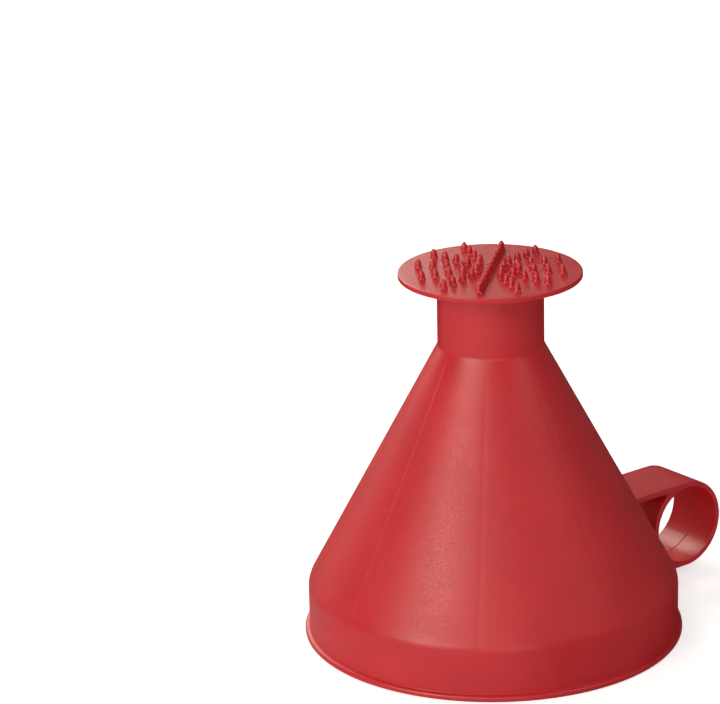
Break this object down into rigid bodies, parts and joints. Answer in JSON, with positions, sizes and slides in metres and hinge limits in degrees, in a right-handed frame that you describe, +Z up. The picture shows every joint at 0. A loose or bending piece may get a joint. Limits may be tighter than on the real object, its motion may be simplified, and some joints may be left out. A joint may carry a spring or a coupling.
{
  "type": "funnel ice scraper",
  "caption": "Plastic cone funnel with a beaded mouth, a finger ring at its side, and a push-in cap whose disc carries rows of short spikes.",
  "frame": {"origin": "centre of the mouth, on the plane the mouth bead rests on", "axes": "+Z up the funnel's axis towards the spout and cap, +X towards the finger ring, +Y along the finger ring's hole"},
  "size_m": [0.1625, 0.13, 0.1316],
  "materials": {
    "red_body": "satin moulded polypropylene",
    "red_cap": "satin moulded polypropylene"
  },
  "bodies": {
    "funnel": {"rim_bead": "red_body", "collar_band": "red_body", "cone_wall": "red_body", "spout_tube": "red_body", "collar_ribs": "red_body", "cone_ribs": "red_body", "finger_ring": "red_body", "strap_upper": "red_body", "strap_lower": "red_body"},
    "cap": {"cap_disc": "red_cap", "cap_spigot": "red_cap", "ridge_blade": "red_cap", "spikes_ring_1": "red_cap", "spikes_ring_2": "red_cap", "spikes_ring_3": "red_cap", "spikes_ring_4": "red_cap", "spikes_ring_5": "red_cap"}
  },
  "joints": [
    {"name": "cap_pull", "type": "slide", "parent": "funnel", "child": "cap", "axis": [0, 0, 1], "range_m": [0, 0.04]}
  ]
}
